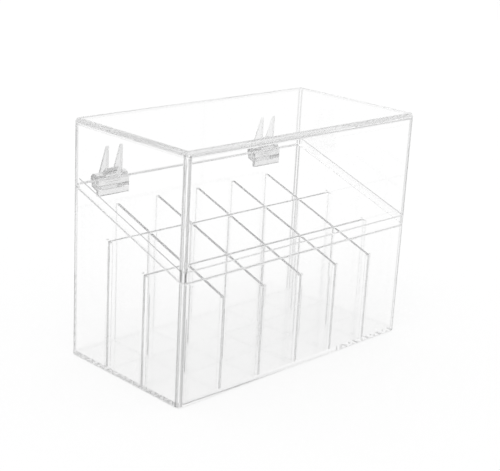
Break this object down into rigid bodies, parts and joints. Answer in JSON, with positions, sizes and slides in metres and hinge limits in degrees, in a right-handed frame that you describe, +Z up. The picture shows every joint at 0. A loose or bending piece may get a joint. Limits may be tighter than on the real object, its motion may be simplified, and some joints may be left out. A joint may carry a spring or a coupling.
{
  "type": "lipstick organizer box",
  "caption": "Clear moulded box with a hinged lid on a slanted joint and lapped upright dividers that make square wells for standing lipsticks.",
  "frame": {"origin": "centre of the tray's flat underside", "axes": "+X to the right along the long side, +Y to the back where the hinges are, +Z up"},
  "size_m": [0.175, 0.097, 0.1345],
  "materials": {
    "tray_clear": "clear, polished",
    "lid_clear": "clear, polished",
    "divider_clear": "clear, polished",
    "hinge_clear": "clear, polished"
  },
  "bodies": {
    "tray": {"base_tray": "tray_clear", "cross_divider_1": "divider_clear", "cross_divider_2": "divider_clear", "cross_divider_3": "divider_clear", "cross_divider_4": "divider_clear", "cross_divider_5": "divider_clear", "long_divider_front": "divider_clear", "long_divider_rear": "divider_clear", "hinge_left_lower_leaf": "hinge_clear", "hinge_right_lower_leaf": "hinge_clear", "hinge_left_pin": "hinge_clear", "hinge_right_pin": "hinge_clear"},
    "lid": {"lid_cover": "lid_clear", "hinge_left_upper_leaf": "hinge_clear", "hinge_right_upper_leaf": "hinge_clear"}
  },
  "joints": [
    {"name": "lid_hinge", "type": "hinge", "parent": "tray", "child": "lid", "pos_m": [0, 0.049, 0.0975], "axis": [-1, 0, 0], "range_deg": [0, 108]}
  ]
}
